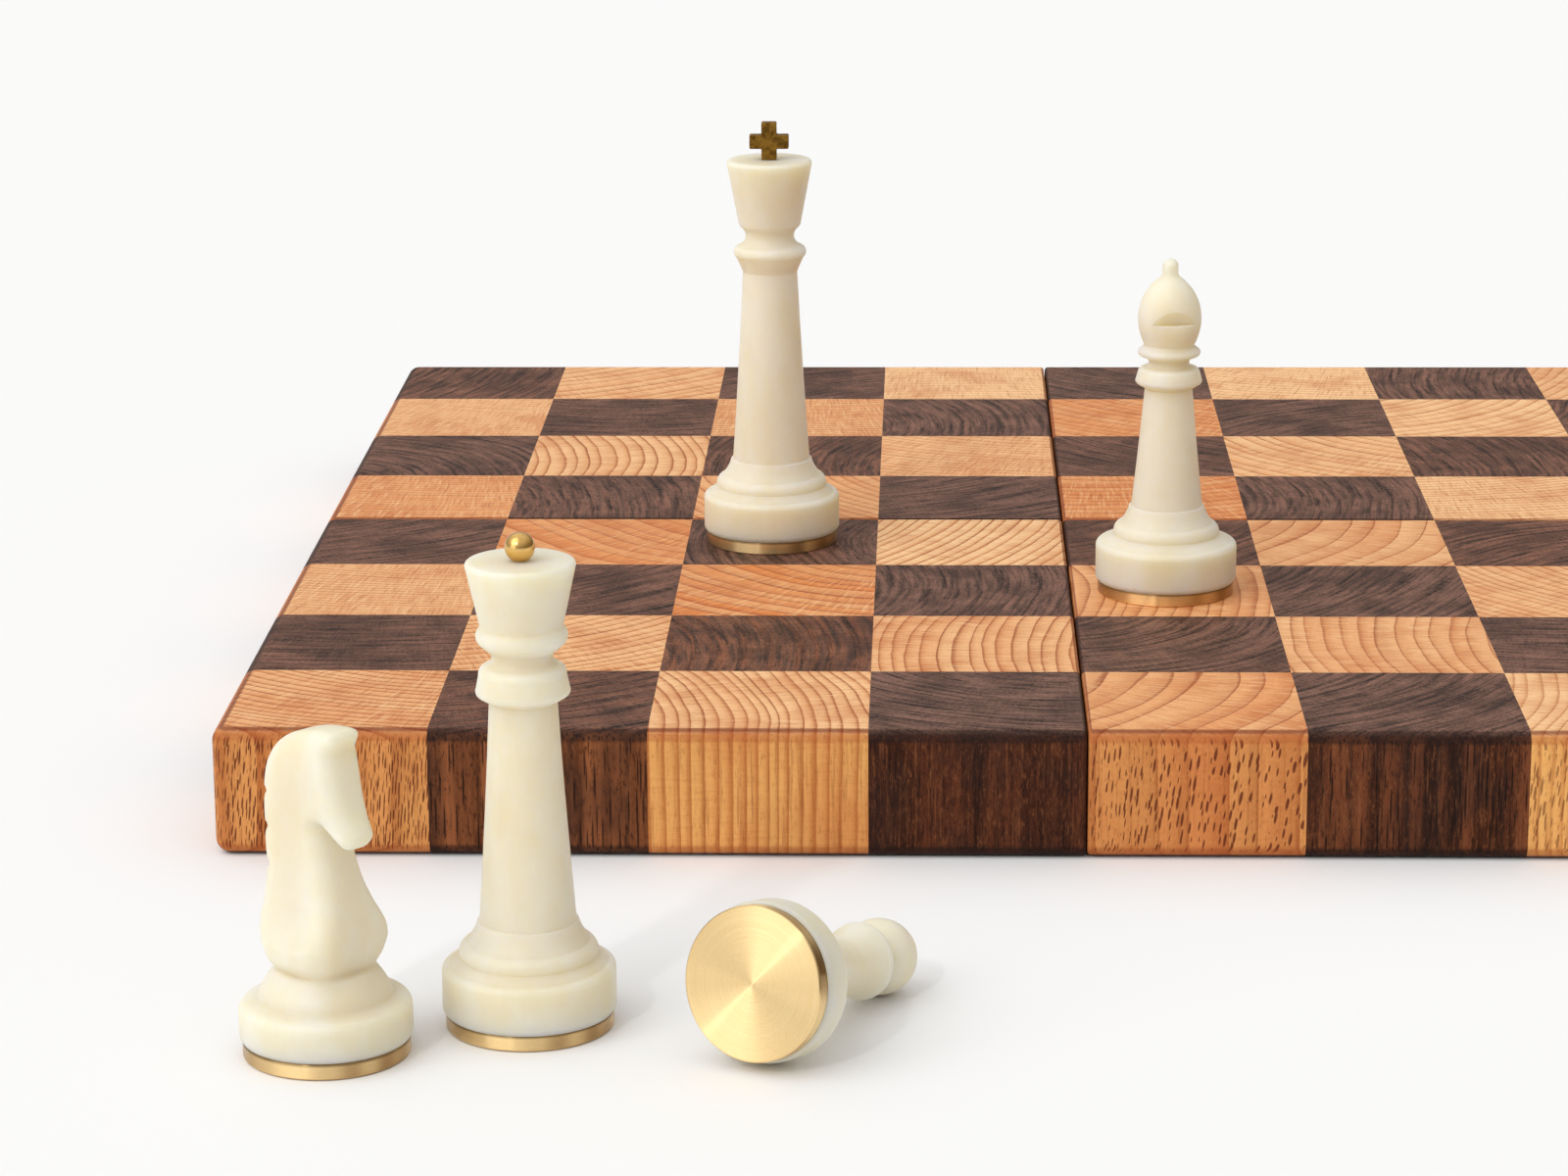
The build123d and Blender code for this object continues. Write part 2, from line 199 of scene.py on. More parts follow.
class Grain:
    """What the wood of a node is like at a point: two blocks share the node, left and right of split_x."""

    def __init__(self, graph, left, right, split_x):
        self.point = graph.object_point(1 / MM)
        x, y, self.z = graph.xyz(self.point)
        is_right = graph.math("GREATER_THAN", x, split_x)

        def choose(name):
            a, b = getattr(left, name), getattr(right, name)
            return graph.math("MULTIPLY_ADD", is_right, b - a, a)

        self.ring = choose("ring")
        self.warmth = choose("warmth")
        self.contrast = choose("contrast")
        self.fleck = choose("fleck")

        # rings wander a little, in long waves with ever smaller ones on them
        wander_space = graph.stretch(self.point, 0.022, 0.022, 0.006)
        wander = graph.noise(wander_space, detail=6.0, roughness=0.42, output="Color")
        wander_x, wander_y, _ = graph.xyz(graph.vector_math("SUBTRACT", wander, Vector((0.5, 0.5, 0.5))))
        out_x = graph.math("MULTIPLY_ADD", wander_x, WANDER, graph.math("SUBTRACT", x, choose("pith_x")))
        out_y = graph.math("MULTIPLY_ADD", wander_y, WANDER, graph.math("SUBTRACT", y, choose("pith_y")))
        out = graph.combine(out_x, out_y)
        self.radius = graph.length(out)
        self.ray = graph.vector_math("NORMALIZE", out)

        # distance round the pith, measured from the block's own direction
        to_x, to_y = choose("to_pith_x"), choose("to_pith_y")
        outward = graph.math("ADD", graph.product(out_x, to_x), graph.product(out_y, to_y))
        sideways = graph.math("SUBTRACT", graph.product(out_y, to_x), graph.product(out_x, to_y))
        angle = graph.math("ARCTAN2", sideways, graph.math("MULTIPLY", outward, -1.0))
        self.around = graph.product(angle, choose("distance"))

        # which way the surface faces: end grain, side, the rounded edges and the line along their top, which
        #         only carry painted shade, or a side that the rays pierce
        normal = graph.add("ShaderNodeNewGeometry", output="Normal")
        up = graph.math("ABSOLUTE", graph.xyz(normal)[2])
        self.end = graph.ramp(up, 0.6, 0.9)
        self.side = graph.math("SUBTRACT", 1.0, self.end)
        self.arris_shade = graph.product(graph.ramp(up, 0.05, 0.35), graph.ramp(up, 0.90, 0.995, 1.0, 0.0))
        self.arris_shade_line = graph.product(graph.ramp(up, 0.72, 0.90), graph.ramp(up, 0.965, 0.998, 1.0, 0.0))
        across = graph.math("ABSOLUTE", graph.dot(normal, self.ray))
        self.tangential = graph.product(graph.ramp(across, 0.25, 0.55), graph.ramp(up, 0.3, 0.7, 1.0, 0.0))

        # the last millimetre above the table, which only carries painted shade
        self.foot = graph.ramp(self.z, 0.2, 1.1, 1.0, 0.0)

        # rays: fine lines across the rings on the end grain, short bars on the sides that run along them
        ray_around = graph.product(self.around, 1.5)
        ray_out = graph.product(self.radius, 0.11)
        ray_up = graph.product(self.z, 1.3)
        self.hatch = graph.noise(graph.combine(ray_around, ray_out, ray_up), detail=3.0, roughness=0.68)

        # small marks in all the wood, fibres up the trunk, and broad clouds of tone
        self.speckle = graph.noise(graph.stretch(self.point, 1.9, 1.9, 0.5), detail=3.0, roughness=0.75)
        self.fibre = graph.noise(graph.stretch(self.point, 1.5, 1.5, 0.05), detail=4.0, roughness=0.7)
        self.cloud = graph.noise(graph.stretch(self.point, 0.07, 0.07, 0.05), detail=3.0)


def years(graph, grain, drift_freedom):
    """Count of years at each point, unevenly long."""
    drift_space = graph.combine(graph.product(grain.radius, 0.10), graph.product(grain.around, 0.008))
    drift = graph.noise(drift_space, detail=2.0, roughness=0.55)
    return graph.math("MULTIPLY_ADD", drift, drift_freedom, graph.math("DIVIDE", grain.radius, grain.ring))


def oil(graph, shader, body, height, mottle, gloss):
    """Give oiled wood its colour, its fine relief and its soft shine."""
    graph.plug(shader.inputs["Base Color"], body)
    graph.plug(shader.inputs["Normal"], graph.bump(height, 0.4, 0.12 * MM))
    graph.plug(shader.inputs["Roughness"], graph.math("MULTIPLY_ADD", mottle, 0.2, 0.42))
    shader.inputs["Specular IOR Level"].default_value = gloss


def beech_flecks(graph, grain):
    """Ends of broad rays: slim dark spindles that stand on the sides that the rays pierce."""
    across = graph.math("DIVIDE", grain.around, graph.product(grain.fleck, 0.62))
    down = graph.math("DIVIDE", grain.z, 2.6)
    slanting = graph.math("MULTIPLY_ADD", down, 0.22, across)
    offset, chance = graph.cells(graph.combine(slanting, down), "2D")
    reach = graph.length(graph.stretch(offset, 4.2, 1.25, 0.0))
    smallest = graph.math("MULTIPLY_ADD", grain.fleck, -0.6, 0.86)
    size = graph.math("MULTIPLY_ADD", graph.xyz(chance)[0], 0.85, smallest)
    spindle = graph.ramp(graph.math("DIVIDE", reach, size), 0.6, 1.2, 1.0, 0.0)
    return graph.product(spindle, grain.tangential)


def beech_material(name, left, right, split_x):
    material, graph, shader = new_material(name)
    grain = Grain(graph, left, right, split_x)

    # each year pales, deepens slowly and ends in a thin dark line; some years are brighter than others
    count = years(graph, grain, drift_freedom=1.8)
    phase = graph.math("FRACT", count)
    tone = graph.add("ShaderNodeTexWhiteNoise", {"W": graph.math("FLOOR", count)}, noise_dimensions="1D")
    to_next = graph.product(graph.math("SUBTRACT", 1.0, phase), grain.ring)
    line = graph.product(graph.ramp(to_next, 0.14, 0.85, 1.0, 0.0), graph.ramp(to_next, 0.0, 0.07))
    line = graph.product(line, graph.math("MULTIPLY_ADD", tone, 0.5, 0.55), grain.contrast)
    line = graph.product(line, graph.math("MULTIPLY_ADD", grain.side, -0.5, 1.0))
    late = graph.product(graph.ramp(phase, 0.25, 1.0), grain.contrast)
    flecks = beech_flecks(graph, grain)

    # the wood's own colour, by warmth and by how late in the year it grew, on top and down the sides
    pale = graph.mix(grain.warmth, colour(252, 206, 154), colour(224, 136, 70))
    deep = graph.mix(grain.warmth, colour(236, 172, 112), colour(194, 100, 44))
    pale_side = graph.mix(grain.warmth, colour(243, 185, 109), colour(200, 107, 58))
    deep_side = graph.mix(grain.warmth, colour(210, 138, 72), colour(176, 90, 46))
    body = graph.mix(grain.side, graph.mix(late, pale, deep), graph.mix(late, pale_side, deep_side))

    # what lies on it
    ray_strength = graph.math("MULTIPLY_ADD", grain.end, 0.32, 0.18)
    clouds = graph.product(graph.ramp(grain.cloud, 0.42, 0.72), 0.42)
    pale_rays = graph.product(graph.ramp(grain.hatch, 0.51, 0.70), ray_strength)
    dark_rays = graph.product(graph.ramp(grain.hatch, 0.49, 0.31), ray_strength)
    specks = graph.product(graph.ramp(grain.speckle, 0.51, 0.74), 0.46)
    fibres = graph.product(graph.ramp(grain.fibre, 0.49, 0.74), grain.side, 0.62)
    brightest = graph.mix(grain.side, colour(246, 206, 152), colour(230, 178, 104))
    line_tone = graph.mix(grain.side, colour(158, 78, 36), colour(156, 80, 36))
    pale_ray_tone = graph.mix(grain.side, colour(252, 214, 164), colour(230, 172, 100))
    body = graph.paint(
        body,
        (graph.product(tone, 0.35, grain.contrast), brightest),
        (clouds, colour(200, 116, 62)),
        (graph.product(line, 0.96), line_tone),
        (pale_rays, pale_ray_tone),
        (dark_rays, colour(170, 92, 48)),
        (specks, colour(160, 86, 44)),
        (fibres, colour(148, 78, 38)),
        (graph.product(flecks, 0.92), colour(100, 42, 22)),
        # painted shade on the rounded edges and the line along their top, and a painted shadow in the last
        # millimetre above the table
        (graph.product(grain.arris_shade, 0.42), colour(158, 70, 32)),
        (graph.product(grain.arris_shade_line, 0.66), colour(104, 38, 18)),
        (graph.product(grain.foot, 0.7), colour(88, 40, 22)),
    )
    height = graph.math("SUBTRACT", grain.hatch, graph.math("ADD", line, flecks))
    oil(graph, shader, body, height, mottle=grain.hatch, gloss=0.12)
    return material


def walnut_pores(graph, grain):
    """Open tubes up the trunk, so short dark dashes down the sides."""
    offset, _ = graph.cells(graph.stretch(grain.point, 1.15, 1.15, 0.13), "3D")
    reach = graph.length(graph.stretch(offset, 4.0, 4.0, 1.7))
    strength = graph.math("MULTIPLY_ADD", grain.contrast, 0.7, 0.2)
    return graph.product(graph.ramp(reach, 0.6, 1.2, 1.0, 0.0), strength)


def walnut_material(name, left, right, split_x):
    material, graph, shader = new_material(name)
    grain = Grain(graph, left, right, split_x)

    # each year has a paler band in its middle and a dark line near its end
    phase = graph.math("FRACT", years(graph, grain, drift_freedom=2.4))
    band = graph.product(graph.ramp(phase, 0.0, 0.5), graph.ramp(phase, 0.7, 1.0, 1.0, 0.0))
    line_rise = graph.ramp(phase, 0.80, 0.93)
    line_fall = graph.ramp(phase, 0.95, 1.0, 1.0, 0.0)
    line = graph.product(line_rise, line_fall, grain.contrast)

    # streaks: fine ones that follow the rings on top, long ones that follow the fibres down the sides
    streak_space = graph.combine(graph.product(grain.radius, 0.8), graph.product(grain.around, 0.05))
    streak = graph.noise(streak_space, detail=4.0, roughness=0.7)
    broad = graph.noise(graph.stretch(grain.point, 0.24, 0.24, 0.006), detail=3.0, roughness=0.6)
    pores = walnut_pores(graph, grain)

    # the wood's own colour, by warmth and streaks, on top and down the sides
    dark_top = graph.mix(grain.warmth, colour(30, 20, 18), colour(42, 23, 15))
    pale_top = graph.mix(grain.warmth, colour(140, 103, 90), colour(146, 87, 58))
    top = graph.mix(graph.ramp(streak, 0.34, 0.64), dark_top, pale_top)
    top = graph.mix(graph.product(band, 0.25), top, colour(128, 96, 80))
    dark_side = graph.mix(grain.warmth, colour(34, 16, 9), colour(92, 49, 25))
    pale_side = graph.mix(grain.warmth, colour(97, 50, 30), colour(184, 112, 68))
    down_side = graph.mix(graph.ramp(broad, 0.32, 0.68), dark_side, pale_side)
    evenness = graph.math("MULTIPLY_ADD", grain.contrast, -0.8, 0.8)
    down_side = graph.mix(evenness, down_side, colour(72, 36, 22))

    # what lies on it
    pale_rays = graph.product(graph.ramp(grain.hatch, 0.50, 0.76), grain.end, 0.34)
    dark_rays = graph.product(graph.ramp(grain.hatch, 0.47, 0.27), grain.end, 0.40)
    fibres = graph.product(graph.ramp(grain.fibre, 0.50, 0.74), grain.side, 0.50)
    dark_specks = graph.product(graph.ramp(grain.speckle, 0.51, 0.70), 0.74)
    pale_specks = graph.product(graph.ramp(grain.speckle, 0.48, 0.29), 0.58)
    pale_speck_tone = graph.mix(grain.side, colour(150, 112, 92), colour(134, 82, 50))
    clouds = graph.product(graph.ramp(grain.cloud, 0.44, 0.64), 0.42)
    body = graph.paint(
        graph.mix(grain.side, top, down_side),
        (graph.product(line, 0.55), colour(36, 25, 22)),
        (pale_rays, colour(152, 116, 98)),
        (dark_rays, colour(34, 22, 19)),
        (fibres, colour(140, 86, 54)),
        (dark_specks, colour(26, 16, 13)),
        (pale_specks, pale_speck_tone),
        (clouds, colour(42, 29, 26)),
        (graph.product(pores, grain.side, 0.9), colour(22, 12, 9)),
        # painted shade on the rounded edges, and a painted shadow in the last millimetre above the table
        (graph.product(grain.arris_shade, 0.62), colour(34, 21, 19)),
        (graph.product(grain.foot, 0.7), colour(26, 17, 15)),
    )
    height = graph.math("SUBTRACT", graph.product(grain.hatch, 0.8), pores)
    oil(graph, shader, body, height, mottle=grain.speckle, gloss=0.08)
    return material


# Squares by (column, row) from the front left corner: which way the pith lies, in degrees from +X, how far
# it is from the block's middle and how wide a year is, in millimetres, then warmth and contrast, 0 to 1.
SQUARES = {
    # beech
    (1, 1): (68, 95, 2.6, 0.56, 1.0), (3, 1): (192, 110, 2.6, 0.30, 1.0), (5, 1): (155, 60, 6.4, 0.74, 1.0),
    (7, 1): (167, 120, 3.0, 0.15, 0.6), (2, 2): (120, 90, 3.5, 0.35, 1.0), (4, 2): (355, 110, 3.2, 0.50, 1.0),
    (6, 2): (0, 140, 3.8, 0.55, 0.8), (8, 2): (140, 90, 3.2, 0.30, 0.8), (1, 3): (82, 150, 2.0, 0.45, 0.6),
    (3, 3): (55, 62, 4.6, 1.00, 1.0), (5, 3): (180, 120, 3.5, 0.60, 0.8), (7, 3): (40, 100, 3.0, 0.40, 0.8),
    (2, 4): (42, 80, 5.0, 0.90, 0.7), (4, 4): (157, 130, 3.0, 0.05, 1.0), (6, 4): (155, 70, 6.5, 0.55, 1.0),
    (8, 4): (60, 110, 3.6, 0.30, 0.8), (1, 5): (87, 140, 2.4, 0.70, 0.5), (3, 5): (30, 90, 3.4, 0.60, 0.8),
    (5, 5): (100, 80, 3.8, 0.90, 0.7), (7, 5): (102, 140, 2.6, 0.15, 0.7), (2, 6): (187, 90, 3.3, 0.30, 1.0),
    (4, 6): (72, 120, 3.0, 0.40, 0.6), (6, 6): (45, 70, 4.5, 0.30, 0.9), (8, 6): (200, 90, 3.4, 0.35, 0.8),
    (1, 7): (78, 150, 2.4, 0.35, 0.5), (3, 7): (93, 150, 2.2, 0.60, 0.8), (5, 7): (55, 90, 4.0, 0.85, 0.7),
    (7, 7): (132, 90, 4.0, 0.10, 0.8), (2, 8): (128, 90, 5.0, 0.35, 0.9), (4, 8): (90, 150, 2.0, 0.05, 0.5),
    (6, 8): (75, 120, 3.0, 0.05, 0.6), (8, 8): (160, 110, 3.2, 0.30, 0.7),
    # walnut
    (2, 1): (115, 90, 4.0, 0.60, 1.0), (4, 1): (70, 60, 3.0, 0.05, 0.4), (6, 1): (135, 90, 5.0, 0.14, 1.0),
    (8, 1): (80, 90, 4.0, 0.30, 0.6), (1, 2): (90, 150, 3.0, 0.40, 0.4), (3, 2): (187, 100, 5.0, 1.00, 0.7),
    (5, 2): (130, 40, 3.5, 0.30, 0.9), (7, 2): (95, 80, 4.0, 0.20, 0.6), (2, 3): (125, 90, 4.0, 0.40, 0.6),
    (4, 3): (175, 90, 4.0, 0.20, 0.7), (6, 3): (150, 90, 4.0, 0.20, 0.7), (1, 4): (122, 110, 2.5, 0.35, 0.5),
    (2, 5): (190, 100, 3.5, 0.40, 0.5), (4, 5): (120, 100, 4.0, 0.20, 0.6), (6, 5): (180, 90, 4.0, 0.30, 0.7),
    (1, 6): (225, 40, 3.5, 0.25, 0.8), (2, 7): (90, 60, 3.5, 0.35, 0.6), (4, 7): (190, 60, 4.0, 0.25, 0.6),
    (6, 7): (300, 60, 4.0, 0.25, 0.7),
}


def board_middle(axis):
    """Middle of the board along an axis, in millimetres."""
    places = [corner[axis] for name in board_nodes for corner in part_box(name)]
    return (min(places) + max(places)) / 2 / MM


def block_middle(middle, number):
    """Middle of a block along an axis, from the board's middle and the block's number, counted from 1."""
    outwards = -1 if number <= QUARTER_BLOCKS else 1
    return middle + (number - (BOARD_BLOCKS + 1) / 2) * BLOCK + outwards * (SEAM / 2 - TRIM)


def cut_blocks():
    """The board's blocks by (column, row). Those that SQUARES leaves out were cut as the dice say."""
    dice = random.Random(DICE_SEED)
    middle_x, middle_y = board_middle(0), board_middle(1)
    numbers = range(1, BOARD_BLOCKS + 1)
    blocks = {}
    for row in numbers:
        for column in numbers:
            by_chance = (
                dice.uniform(0, 360),
                dice.uniform(50, 120),
                dice.uniform(2.8, 4.4),
                dice.uniform(0.1, 0.6),
                dice.uniform(0.5, 0.9),
            )
            cut = SQUARES.get((column, row), by_chance)
            blocks[column, row] = Block(block_middle(middle_x, column), block_middle(middle_y, row), *cut)
    return blocks


def lay_wood():
    """Every row of a quarter has two beech blocks in one node and two walnut blocks in the other."""
    blocks = cut_blocks()
    for name in sorted(board_nodes):
        depth, side, _, row, wood = name.split("_")
        row = int(row) + (QUARTER_BLOCKS if depth == "back" else 0)
        first = 1 if side == "left" else QUARTER_BLOCKS + 1
        parity = 0 if wood == "beech" else 1
        columns = [column for column in range(first, first + QUARTER_BLOCKS) if (column + row) % 2 == parity]
        left, right = [blocks[column, row] for column in columns]
        split_x = sum(corner.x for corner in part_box(name)) / 2 / MM
        make = beech_material if wood == "beech" else walnut_material
        dress(name, make(name, left, right, split_x))


# --- Resin ----------------------------------------------------------------------------------------
def resin_material():
    """Milky ivory resin, faintly cloudy, that lets light nearly a centimetre in."""
    material, graph, shader = new_material("ivory_resin")
    point = graph.object_point(1 / MM)
    cloud = graph.noise(graph.stretch(point, 0.09, 0.09, 0.05), detail=4.0, roughness=0.6)
    body = graph.mix(graph.ramp(cloud, 0.3, 0.72), colour(232, 226, 210), colour(228, 217, 187))
    graph.plug(shader.inputs["Base Color"], body)
    turning = graph.noise(graph.stretch(point, 0.5, 0.5, 4.0), detail=3.0)
    graph.plug(shader.inputs["Normal"], graph.bump(turning, 0.14, 0.1 * MM))
    graph.plug(shader.inputs["Roughness"], graph.math("MULTIPLY_ADD", turning, 0.16, 0.34))
    shader.inputs["Subsurface Weight"].default_value = 1.0
    shader.inputs["Subsurface Radius"].default_value = (1.0, 0.91, 0.58)
    shader.inputs["Subsurface Scale"].default_value = 9 * MM
    shader.inputs["Specular IOR Level"].default_value = 0.35
    return material


# --- Metal ----------------------------------------------------------------------------------------
QUARTER_TURN = 0.25  # of a full circle, for the direction in which highlights stretch
DISC_HALF = 1.45  # half the thickness of a brass disc, in millimetres
PAWN_TURN = radians(29.3)  # from +Y towards +X, to the fallen pawn's head
PAWN_LEAN = radians(10.5)  # how far its axis leans down towards the head


def turned_brass(name, centre, axis):
    """Brass turned on a lathe: fine circles round its axis stretch its highlights into fans and bars."""
    material, graph, shader = new_material(name)
    out = graph.vector_math("SUBTRACT", graph.object_point(), Vector(centre))
    around = graph.vector_math("CROSS_PRODUCT", Vector(axis), out)
    radius = graph.product(graph.length(around), 1 / MM)
    along = graph.product(graph.dot(out, Vector(axis)), 1 / MM)
    groove_space = graph.combine(graph.product(radius, 7.0), graph.product(along, 7.0))
    groove = graph.noise(groove_space, detail=3.0, roughness=0.7)
    body = graph.mix(graph.ramp(groove, 0.3, 0.72), colour(253, 223, 168), colour(246, 211, 150))

    # painted dark reflections in patches round the rim's side, and painted shade where the disc meets the
    # resin
    rim = graph.ramp(graph.math("ABSOLUTE", along), DISC_HALF - 0.35, DISC_HALF - 0.05, 1.0, 0.0)
    resin_joint_shade = graph.ramp(along, DISC_HALF - 0.65, DISC_HALF - 0.1)
    unit = graph.vector_math("NORMALIZE", around)
    dark_reflection_patch = graph.noise(graph.stretch(unit, 1.5, 1.5, 1.5), detail=1.0)
    body = graph.mix(graph.product(graph.ramp(dark_reflection_patch, 0.72, 0.34), rim, 0.78), body, colour(134, 92, 48))
    body = graph.mix(graph.product(resin_joint_shade, 0.70), body, colour(74, 48, 26))
    graph.plug(shader.inputs["Base Color"], body)
    graph.plug(shader.inputs["Normal"], graph.bump(groove, 0.03, 0.03 * MM))
    graph.plug(shader.inputs["Roughness"], graph.math("MULTIPLY_ADD", groove, 0.05, 0.25))
    graph.plug(shader.inputs["Tangent"], unit)
    shader.inputs["Metallic"].default_value = 1.0
    shader.inputs["Anisotropic"].default_value = 1.0
    shader.inputs["Anisotropic Rotation"].default_value = QUARTER_TURN
    return material


def plain_metal(name, pale, dark, roughness, blotches):
    """Metal with a faint mottle of so many blotches to a metre."""
    material, graph, shader = new_material(name)
    wear = graph.noise(graph.object_point(blotches), detail=4.0)
    graph.plug(shader.inputs["Base Color"], graph.mix(graph.ramp(wear, 0.35, 0.7), pale, dark))
    graph.plug(shader.inputs["Roughness"], graph.math("MULTIPLY_ADD", wear, 0.12, roughness))
    graph.plug(shader.inputs["Normal"], graph.bump(wear, 0.06, 0.1 * MM))
    shader.inputs["Metallic"].default_value = 1.0
    return material


def bright_steel():
    pale, dark = colour(196, 198, 202), colour(168, 170, 176)
    return plain_metal("bright_steel", pale, dark, roughness=0.22, blotches=900)


def dress_men(resin, steel):
    for name in nodes:
        if name.endswith("_body"):
            dress(name, resin)
        if name.endswith(("_stud", "_pin", "_magnets")):
            dress(name, steel)
    pawn_axis = Vector((sin(PAWN_TURN) * cos(PAWN_LEAN), cos(PAWN_TURN) * cos(PAWN_LEAN), -sin(PAWN_LEAN)))
    for man in ("king", "queen", "bishop", "knight", "pawn"):
        low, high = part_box(f"{man}_brass_base")
        axis = pawn_axis if man == "pawn" else Vector((0, 0, 1))
        dress(f"{man}_brass_base", turned_brass(f"{man}_turned_brass", (low + high) / 2, axis))
    dull, dull_dark = colour(146, 110, 46), colour(98, 70, 26)
    dress("king_cross", plain_metal("cross_brass", dull, dull_dark, roughness=0.5, blotches=900))
    bright, bright_dark = colour(232, 190, 116), colour(206, 160, 90)
    dress("queen_ball", plain_metal("ball_brass", bright, bright_dark, roughness=0.16, blotches=300))


# --- Knight ---------------------------------------------------------------------------------------
# Carved as a field of distances, in millimetres forward, sideways and up from the foot of the knight's own
# axis. A side view is cut through a slab that narrows upwards, then joined to the turned foot.
KNIGHT_TURN = radians(42.0)  # from +X towards the player, to the knight's nose
CELL = 0.4  # side of the field's cells
FIELD_REACH = 17.2  # from the axis, each way
FIELD_LOW, FIELD_HIGH = 2.0, 63.0  # its lowest and highest level
CURVE_STEPS = 6  # from one given point of a smooth curve to the next
OUTLINE_GROWTH = 0.25  # given to the side view, as its rounded edges draw it in by about this much
FLARE_COSINE = 0.92  # about the cosine of the flare's slope: makes a level distance a true one
FILLET = 1.2
FOOT_RIM = 8.6  # height where the foot's rim begins to round
FOOT_ROUND = 1.8  # radius of that rounding
FOOT_TOP = 16.4


def smooth_curve(points):
    """Points along a smooth curve through the given ones."""
    padded = np.array([points[0], *points, points[-1]], float)
    t = np.linspace(0, 1, CURVE_STEPS, endpoint=False)[:, None]
    spans = []
    for a, b, c, d in zip(padded, padded[1:], padded[2:], padded[3:]):
        square, cube = 2 * a - 5 * b + 4 * c - d, 3 * b - a - 3 * c + d
        spans.append(0.5 * (2 * b + (c - a) * t + square * t**2 + cube * t**3))
    return np.vstack([*spans, padded[-1:]])


def outline_distance(outline, u, v):
    """Signed distance from points (u, v) to a closed outline, negative inside."""
    near = np.full(u.shape, np.inf)
    inside = np.zeros(u.shape, bool)
    for (u0, v0), (u1, v1) in zip(outline, np.roll(outline, -1, axis=0)):
        du, dv = u1 - u0, v1 - v0
        length = du * du + dv * dv
        if length < 1e-9:
            continue
        t = np.clip(((u - u0) * du + (v - v0) * dv) / length, 0, 1)
        near = np.minimum(near, np.hypot(u - u0 - t * du, v - v0 - t * dv))
        if dv != 0:
            inside ^= ((v0 > v) != (v1 > v)) & (u < u0 + (v - v0) * du / dv)
    return np.where(inside, -near, near)


def round_both(a, b, radius):
    """What lies in both shapes, its edges rounded to a radius."""
    corner = np.hypot(np.maximum(a + radius, 0), np.maximum(b + radius, 0))
    return np.minimum(np.maximum(a, b), -radius) + corner


def soft_either(a, b, softness):
    """What lies in either shape, with a small fillet between them."""
    blend = np.clip(0.5 + 0.5 * (b - a) / softness, 0, 1)
    return b + (a - b) * blend - softness * blend * (1 - blend)


def between_stations(place, *stations):
    """Value at a place, on straight lines between stations of a place and its value."""
    places, values = zip(*stations)
    return np.interp(place, places, values)


def knight_outline():
    """Side view above the foot: up the back, over the ear and down the face and chest."""
    back = [(-6.8, 16.2), (-7.8, 19.5), (-9.5, 24), (-10.3, 30), (-10.6, 33.8), (-9.9, 34.6), (-10.7, 35.4),
            (-10.9, 40.6), (-10.2, 41.4), (-11.0, 42.2), (-11.1, 47.2), (-10.4, 48.0), (-11.1, 48.8),
            (-10.2, 53.4), (-8.0, 57.0), (-4.6, 59.2), (0.0, 60.7), (4.6, 61.4)]
    ear = [(7.0, 61.5), (7.7, 60.8), (7.5, 59.6)]
    face = [(6.7, 57.8), (7.3, 54.0), (8.2, 50.0), (9.4, 46.6), (11.0, 44.0)]
    muzzle = [(11.5, 43.2), (11.4, 42.0), (10.2, 40.8)]
    jaw = [(9.6, 40.8), (7.8, 42.0), (5.0, 44.2), (3.5, 44.4)]
    chest = [(2.9, 43.0), (4.9, 37.8), (6.9, 32.0), (8.4, 28.3), (9.3, 25.2), (9.5, 22.0), (8.8, 19.2),
             (7.0, 16.2)]
    return np.vstack([smooth_curve(stroke) for stroke in (back, ear, face, muzzle, jaw, chest)])


def knight_field(forward, sideways, up):
    """Signed distance to the knight's surface, negative inside."""
    side_view = outline_distance(knight_outline(), forward[:, :1, :], up[:, :1, :]) - OUTLINE_GROWTH

    # the slab that it is cut through: half its width by height, less a quarter at the muzzle's tip
    half_width = between_stations(
        up, (16, 8.8), (19, 10.0), (22, 9.9), (25, 8.6), (28.5, 7.1), (32, 6.1),
        (36, 5.5), (42, 5.1), (48, 5.0), (54, 4.9), (58, 4.6), (61.5, 4.0)
    )
    at_muzzle_level = between_stations(up, (38, 0), (40, 1), (50, 0.5), (56, 0))
    towards_muzzle = np.clip((forward - 3.0) / 7.5, 0, 1) * at_muzzle_level
    half_width = half_width * (1 - 0.25 * towards_muzzle)

    # how widely its edges are rounded: most low down and along the back, least at the top
    edge_by_height = between_stations(up, (34, 0.8), (40, 0), (58.5, 0), (61, -1.0))
    edge = 3.0 + edge_by_height + between_stations(forward, (-8, 0.6), (-1, 0))
    bust = round_both(side_view, np.abs(sideways) - half_width, edge)

    # nothing stands out past a round flare that rises from the foot
    radius = np.hypot(forward, sideways)
    flare = between_stations(up, (15, 8.4), (16.4, 9.0), (19, 10.6), (22, 11.7), (26, 12.4), (62, 14.0))
    bust = round_both(bust, (radius - flare) * FLARE_COSINE, FILLET)
    return soft_either(bust, turned_foot(radius, up), FILLET)


def turned_foot(radius, up):
    """Signed distance to the turned foot. Its outline starts and ends a little beyond the axis."""
    low_corner, high_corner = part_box("knight_body")
    low = low_corner.z / MM
    wide = (high_corner.x - low_corner.x) / 2 / MM
    underside = [(-1.0, low), (wide - 0.5, low), (wide, low + 1.0)]
    rim = [
        (wide - FOOT_ROUND * (1 - cos(angle)), FOOT_RIM + FOOT_ROUND * sin(angle))
        for angle in np.linspace(0, np.pi / 2, 6)
    ]
    tier = smooth_curve([(12.2, 11.0), (11.6, 12.7), (10.6, 14.4), (9.2, 16.3)])
    outline = np.vstack([underside, rim, tier, [(-1.0, FOOT_TOP)]])
    return outline_distance(outline, radius, up)


